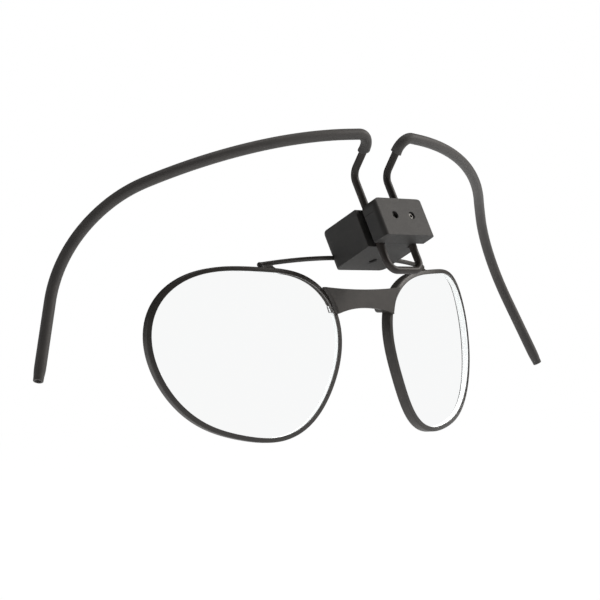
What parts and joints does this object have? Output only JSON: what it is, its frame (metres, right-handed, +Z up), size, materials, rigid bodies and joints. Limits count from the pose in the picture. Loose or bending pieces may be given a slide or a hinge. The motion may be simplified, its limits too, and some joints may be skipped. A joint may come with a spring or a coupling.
{
  "type": "respirator spectacle insert",
  "caption": "Prescription lens insert for a full-face respirator: wire rims and clear lenses on a sliding, tilting clamp carried by a sleeved spring wire.",
  "frame": {"origin": "centre of the guide bar, the straight cross bar at the bottom of the spring wire's U", "axes": "+X along the guide bar towards the wearer's left, -Y forwards to the visor, +Z up with the lens rims upright"},
  "size_m": [0.1978, 0.0408, 0.0791],
  "materials": {
    "spring_steel": "satin",
    "sleeve_rubber": "semi-matte",
    "black_plastic": "fine matte",
    "frame_metal": "satin",
    "screw_steel": "satin",
    "insert_brass": "machined",
    "lens_clear": "polished"
  },
  "bodies": {
    "guide": {"spring_wire": "spring_steel", "sleeve_left": "sleeve_rubber", "sleeve_right": "sleeve_rubber"},
    "slider": {"slider_block": "black_plastic", "clamp_cap": "black_plastic", "cap_screws": "screw_steel", "cap_inserts": "insert_brass", "bar_clip": "screw_steel", "clip_screw": "screw_steel"},
    "front": {"brow_bar": "frame_metal", "bar_foot_left": "frame_metal", "bar_foot_right": "frame_metal", "bridge_plate": "frame_metal", "rim_left": "frame_metal", "rim_right": "frame_metal", "lens_left": "lens_clear", "lens_right": "lens_clear", "lock_left": "frame_metal", "lock_right": "frame_metal", "lock_screws": "screw_steel"}
  },
  "joints": [
    {"name": "height_slide", "type": "slide", "parent": "guide", "child": "slider", "axis": [0, 0.3907, 0.9205], "range_m": [-0.0042, 0.0072]},
    {"name": "front_tilt", "type": "hinge", "parent": "slider", "child": "front", "pos_m": [0, 0.01698, 0.00442], "axis": [1, 0, 0], "range_deg": [-10, 12]}
  ]
}
